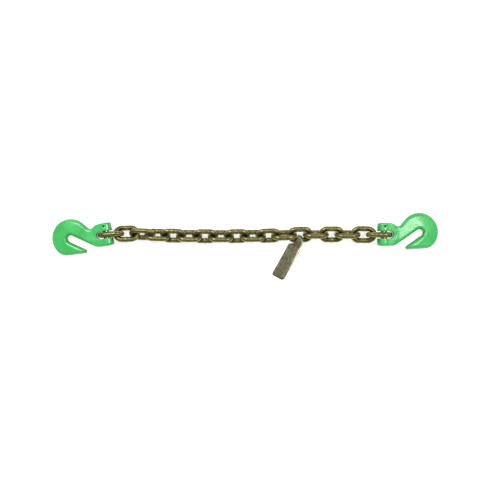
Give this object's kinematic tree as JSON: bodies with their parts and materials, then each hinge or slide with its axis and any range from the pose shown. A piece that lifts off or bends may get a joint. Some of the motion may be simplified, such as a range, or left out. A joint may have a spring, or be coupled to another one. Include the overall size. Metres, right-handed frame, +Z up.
{
  "type": "load binder chain",
  "caption": "Short heavy load binder chain of welded alloy links with a green clevis grab hook pinned to each end and a folded metal identification tag.",
  "frame": {"origin": "middle of the laid-out chain on the ground: the centre of the bounding box at its bottom face", "axes": "+X along the chain from the left hook to the right hook, +Z up from the ground, +Y away from the side the tag lies on"},
  "size_m": [0.7286, 0.1264, 0.0343],
  "materials": {
    "chain_steel": "olive-gold chromate over heat-treated alloy steel, slightly glossy",
    "hook_enamel": "glossy green enamel over a forging",
    "pin_steel": "zinc and chromate plated",
    "tag_metal": "satin, mottled plating on pressed sheet"
  },
  "bodies": {
    "link_01": {"link_01": "chain_steel"},
    "link_02": {"link_02": "chain_steel"},
    "link_03": {"link_03": "chain_steel"},
    "link_04": {"link_04": "chain_steel"},
    "link_05": {"link_05": "chain_steel"},
    "link_06": {"link_06": "chain_steel"},
    "link_07": {"link_07": "chain_steel"},
    "link_08": {"link_08": "chain_steel"},
    "link_09": {"link_09": "chain_steel"},
    "link_10": {"link_10": "chain_steel"},
    "link_11": {"link_11": "chain_steel"},
    "link_12": {"link_12": "chain_steel"},
    "link_13": {"link_13": "chain_steel"},
    "link_14": {"link_14": "chain_steel"},
    "link_15": {"link_15": "chain_steel"},
    "link_16": {"link_16": "chain_steel"},
    "link_17": {"link_17": "chain_steel"},
    "link_18": {"link_18": "chain_steel"},
    "hook_left_body": {"hook_left": "hook_enamel", "hook_left_load_pin": "pin_steel", "hook_left_retaining_pin": "pin_steel"},
    "hook_right_body": {"hook_right": "hook_enamel", "hook_right_load_pin": "pin_steel", "hook_right_retaining_pin": "pin_steel"},
    "id_tag_body": {"id_tag": "tag_metal"}
  },
  "joints": [
    {"name": "link_10_swing", "type": "hinge", "parent": "link_09", "child": "link_10", "pos_m": [0.00447, 0.01974, 0.01473], "axis": [0.007, -0.7986, -0.6018], "range_deg": [-50, 50]},
    {"name": "link_11_swing", "type": "hinge", "parent": "link_10", "child": "link_11", "pos_m": [0.03429, 0.0199, 0.01465], "axis": [-0.0052, -0.6697, 0.7426], "range_deg": [-50, 50]},
    {"name": "link_12_swing", "type": "hinge", "parent": "link_11", "child": "link_12", "pos_m": [0.06411, 0.02084, 0.01591], "axis": [-0.0314, 0.8982, 0.4384], "range_deg": [-50, 50]},
    {"name": "link_13_swing", "type": "hinge", "parent": "link_12", "child": "link_13", "pos_m": [0.09324, 0.02159, 0.01579], "axis": [0.0016, 0.5004, -0.8658], "range_deg": [-50, 28]},
    {"name": "link_14_swing", "type": "hinge", "parent": "link_13", "child": "link_14", "pos_m": [0.12308, 0.02253, 0.01662], "axis": [-0.0083, 0.9563, 0.2924], "range_deg": [-50, 50]},
    {"name": "link_15_swing", "type": "hinge", "parent": "link_14", "child": "link_15", "pos_m": [0.15259, 0.02244, 0.01651], "axis": [0, -0.4695, 0.8829], "range_deg": [-50, 50]},
    {"name": "link_16_swing", "type": "hinge", "parent": "link_15", "child": "link_16", "pos_m": [0.18225, 0.02243, 0.01654], "axis": [0.0083, 0.9563, 0.2924], "range_deg": [-50, 50]},
    {"name": "link_17_swing", "type": "hinge", "parent": "link_16", "child": "link_17", "pos_m": [0.21191, 0.0221, 0.01651], "axis": [0.0207, 0.2585, -0.9658], "range_deg": [-50, 50]},
    {"name": "link_18_swing", "type": "hinge", "parent": "link_17", "child": "link_18", "pos_m": [0.24177, 0.02153, 0.01719], "axis": [-0.0087, -1, 0], "range_deg": [-50, 50]},
    {"name": "link_08_swing", "type": "hinge", "parent": "link_09", "child": "link_08", "pos_m": [-0.03552, 0.01869, 0.01473], "axis": [-0.007, -0.7986, -0.6018], "range_deg": [-50, 50]},
    {"name": "link_07_swing", "type": "hinge", "parent": "link_08", "child": "link_07", "pos_m": [-0.06534, 0.01916, 0.01489], "axis": [0, -0.6947, 0.7193], "range_deg": [-50, 50]},
    {"name": "link_06_swing", "type": "hinge", "parent": "link_07", "child": "link_06", "pos_m": [-0.09517, 0.01912, 0.01493], "axis": [0.0139, 0.7985, 0.6018], "range_deg": [-50, 50]},
    {"name": "link_05_swing", "type": "hinge", "parent": "link_06", "child": "link_05", "pos_m": [-0.12499, 0.01974, 0.015], "axis": [0.0211, 0.6943, -0.7193], "range_deg": [-50, 50]},
    {"name": "link_04_swing", "type": "hinge", "parent": "link_05", "child": "link_04", "pos_m": [-0.1548, 0.02059, 0.01482], "axis": [-0.0485, -0.7866, -0.6155], "range_deg": [-50, 50]},
    {"name": "link_03_swing", "type": "hinge", "parent": "link_04", "child": "link_03", "pos_m": [-0.1846, 0.02214, 0.0157], "axis": [-0.0444, -0.8469, 0.5299], "range_deg": [-50, 50]},
    {"name": "link_02_swing", "type": "hinge", "parent": "link_03", "child": "link_02", "pos_m": [-0.21288, 0.02387, 0.01555], "axis": [0.0455, 0.3433, 0.9381], "range_deg": [-50, 50]},
    {"name": "link_01_swing", "type": "hinge", "parent": "link_02", "child": "link_01", "pos_m": [-0.24241, 0.02312, 0.01734], "axis": [0.0697, -0.997, 0.0349], "range_deg": [-20, 50]},
    {"name": "hook_left_pivot", "type": "hinge", "parent": "link_01", "child": "hook_left_body", "pos_m": [-0.26005, 0.02164, 0.01735], "axis": [-0.1736, 0.9848, 0], "range_deg": [-80, 80]},
    {"name": "hook_right_pivot", "type": "hinge", "parent": "link_18", "child": "hook_right_body", "pos_m": [0.25995, 0.02141, 0.01719], "axis": [0, -1, 0], "range_deg": [-80, 80]},
    {"name": "id_tag_swing", "type": "hinge", "parent": "link_13", "child": "id_tag_body", "pos_m": [0.09957, 0.01175, 0.01034], "axis": [-0.9991, -0.0349, -0.022], "range_deg": [-80, 50]}
  ]
}
